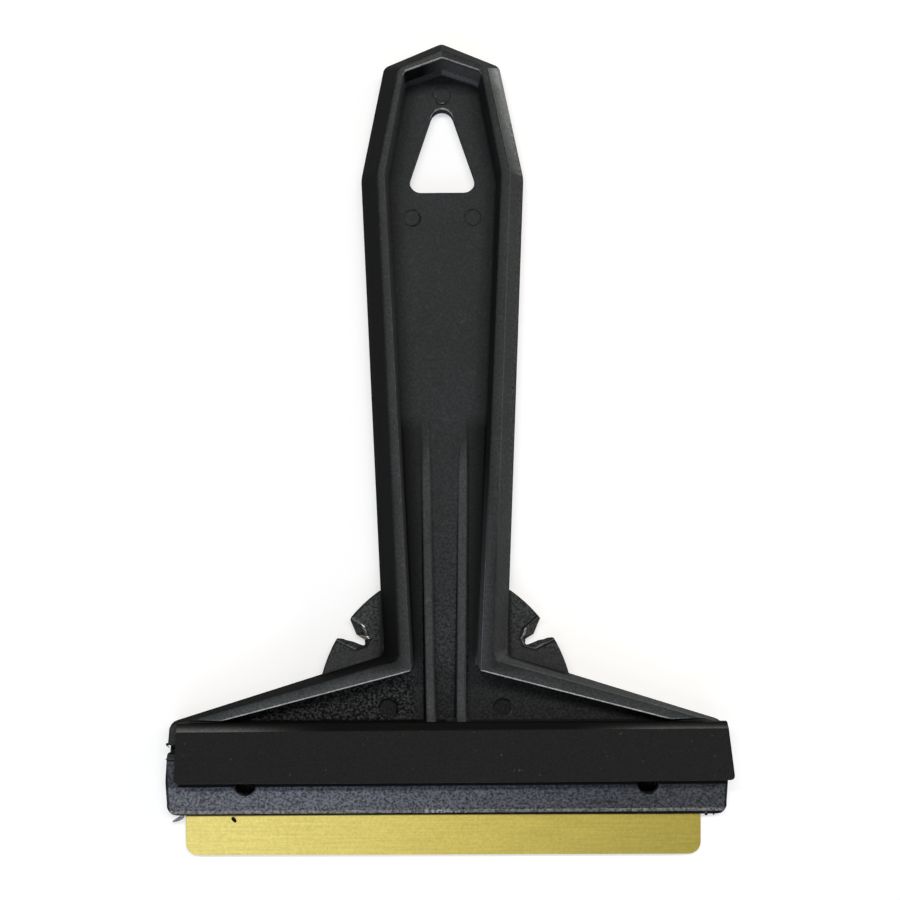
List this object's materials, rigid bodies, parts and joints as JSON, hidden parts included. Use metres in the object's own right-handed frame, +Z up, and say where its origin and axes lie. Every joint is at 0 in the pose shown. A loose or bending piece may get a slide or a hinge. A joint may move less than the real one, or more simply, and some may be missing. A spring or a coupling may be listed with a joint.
{
  "type": "ice scraper",
  "caption": "Hand ice scraper with a channel-shaped moulded handle, brass blade, sliding rubber squeegee strip, notched wings for cleaning wiper blades and a hanging hole",
  "frame": {"origin": "on the flat underside, on the centre line of the body, at the middle of the tool's length", "axes": "+X to the right, +Y towards the hanging hole with the blade at -Y, +Z up out of the open channel"},
  "size_m": [0.119, 0.1725, 0.014],
  "materials": {
    "body": "black polypropylene with a fine moulded grain, coarser in the pockets and on the lip",
    "blade": "rolled brass, satin, unpolished",
    "squeegee": "matt black rubber"
  },
  "bodies": {
    "scraper": {"body": "body", "blade": "blade"},
    "strip": {"squeegee": "squeegee"}
  },
  "joints": [
    {"name": "squeegee_slide", "type": "slide", "parent": "scraper", "child": "strip", "axis": [1, 0, 0], "range_m": [-0.12, 0.12]}
  ]
}
